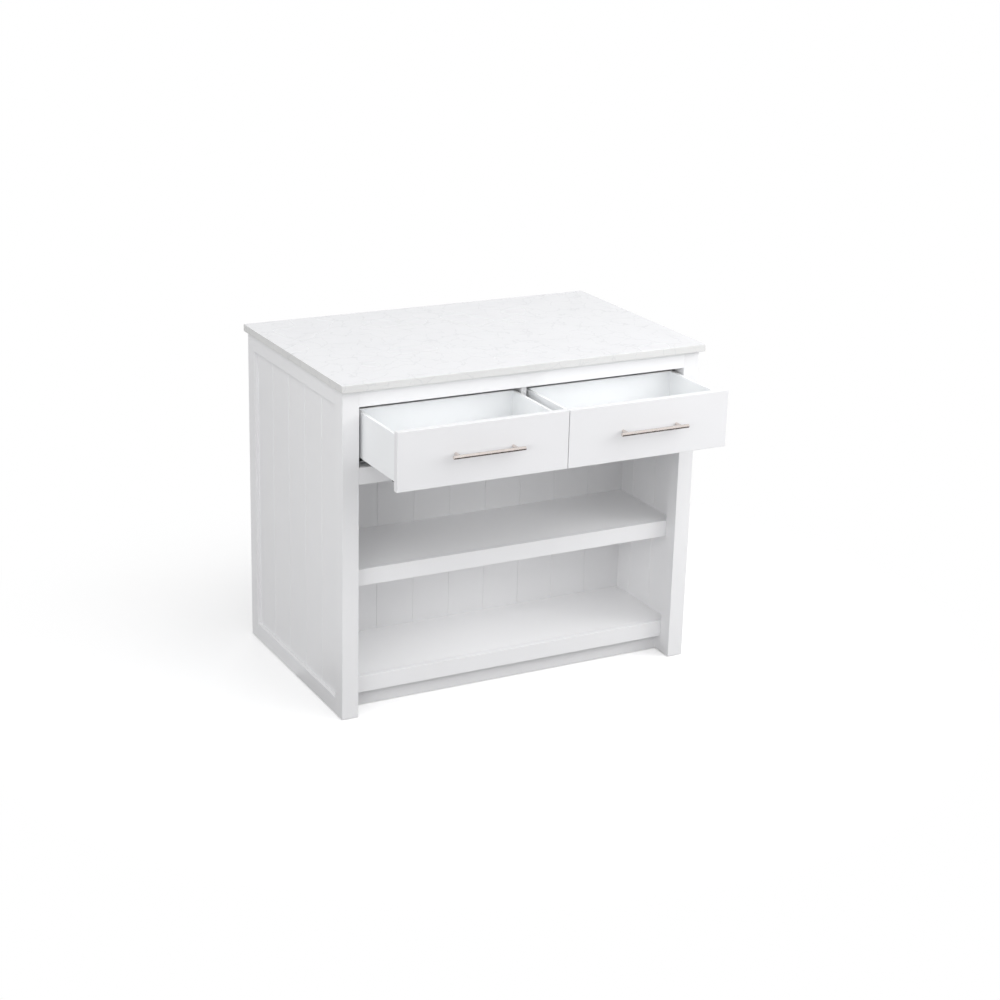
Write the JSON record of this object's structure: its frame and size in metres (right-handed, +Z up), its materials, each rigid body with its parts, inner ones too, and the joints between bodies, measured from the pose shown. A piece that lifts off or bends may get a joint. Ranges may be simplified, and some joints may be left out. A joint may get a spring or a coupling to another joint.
{
  "type": "kitchen island unit",
  "caption": "Free-standing kitchen island: stone worktop on a painted frame with inset drawers on full-extension slides, open shelf bays, beadboard end panels and a knee space behind.",
  "frame": {"origin": "on the floor, below the middle of the whole unit's box with both drawers standing 220 mm open; the middle of the carcass itself is at y = +0.1215 m", "axes": "+X to the right along the worktop when facing the drawers, +Y towards the back, +Z up out of the worktop"},
  "size_m": [1.067, 0.905, 0.914],
  "materials": {
    "stone_top": "satin",
    "painted_wood": "satin",
    "drawer_white": "satin",
    "beech": "matte",
    "zinc_steel": "satin",
    "brushed_nickel": "satin",
    "black_plastic": "matte",
    "carriage_plastic": "matte",
    "glide_plastic": "matte"
  },
  "bodies": {
    "carcass": {"worktop": "stone_top", "floor_glides": "glide_plastic", "frame_dowels": "beech", "left_front_post": "painted_wood", "right_front_post": "painted_wood", "left_rear_post": "painted_wood", "right_rear_post": "painted_wood", "left_end_top_rail": "painted_wood", "right_end_top_rail": "painted_wood", "left_end_bottom_rail": "painted_wood", "right_end_bottom_rail": "painted_wood", "left_end_panel": "painted_wood", "right_end_panel": "painted_wood", "front_top_rail": "painted_wood", "rear_top_rail": "painted_wood", "drawer_rail": "painted_wood", "partition": "painted_wood", "partition_battens": "painted_wood", "drawer_divider": "painted_wood", "dust_panel": "painted_wood", "middle_shelf": "painted_wood", "middle_shelf_rail": "painted_wood", "bottom_shelf": "painted_wood", "bottom_shelf_rail": "painted_wood", "toe_kick": "painted_wood", "shelf_cleats": "painted_wood", "slide_spacers": "painted_wood", "corner_braces": "beech", "slide_screws": "zinc_steel", "left_drawer_slide_outers": "zinc_steel", "right_drawer_slide_outers": "zinc_steel"},
    "left_slide_middles": {"left_drawer_slide_middles": "zinc_steel", "left_drawer_slide_carriages": "carriage_plastic"},
    "left_drawer": {"left_drawer_front": "painted_wood", "left_drawer_box_front": "drawer_white", "left_drawer_box_outer_side": "drawer_white", "left_drawer_box_inner_side": "drawer_white", "left_drawer_box_back": "drawer_white", "left_drawer_bottom": "drawer_white", "left_drawer_front_screws": "zinc_steel", "left_drawer_handle_bar": "brushed_nickel", "left_drawer_handle_stand_offs": "brushed_nickel", "left_drawer_handle_screws": "zinc_steel", "left_drawer_slide_inners": "zinc_steel", "left_drawer_slide_clips": "black_plastic"},
    "right_slide_middles": {"right_drawer_slide_middles": "zinc_steel", "right_drawer_slide_carriages": "carriage_plastic"},
    "right_drawer": {"right_drawer_front": "painted_wood", "right_drawer_box_front": "drawer_white", "right_drawer_box_outer_side": "drawer_white", "right_drawer_box_inner_side": "drawer_white", "right_drawer_box_back": "drawer_white", "right_drawer_bottom": "drawer_white", "right_drawer_front_screws": "zinc_steel", "right_drawer_handle_bar": "brushed_nickel", "right_drawer_handle_stand_offs": "brushed_nickel", "right_drawer_handle_screws": "zinc_steel", "right_drawer_slide_inners": "zinc_steel", "right_drawer_slide_clips": "black_plastic"}
  },
  "joints": [
    {"name": "left_drawer_slide", "type": "slide", "parent": "carcass", "child": "left_drawer", "axis": [0, -1, 0], "range_m": [-0.22, 0.03]},
    {"name": "right_drawer_slide", "type": "slide", "parent": "carcass", "child": "right_drawer", "axis": [0, -1, 0], "range_m": [-0.22, 0.03]},
    {"name": "left_slide_middles_run", "type": "slide", "parent": "carcass", "child": "left_slide_middles", "axis": [0, -1, 0], "range_m": [-0.11, 0.015]},
    {"name": "right_slide_middles_run", "type": "slide", "parent": "carcass", "child": "right_slide_middles", "axis": [0, -1, 0], "range_m": [-0.11, 0.015]}
  ],
  "couplings": [
    {"joint": "left_slide_middles_run", "follows": "left_drawer_slide", "ratio": 0.5},
    {"joint": "right_slide_middles_run", "follows": "right_drawer_slide", "ratio": 0.5}
  ]
}
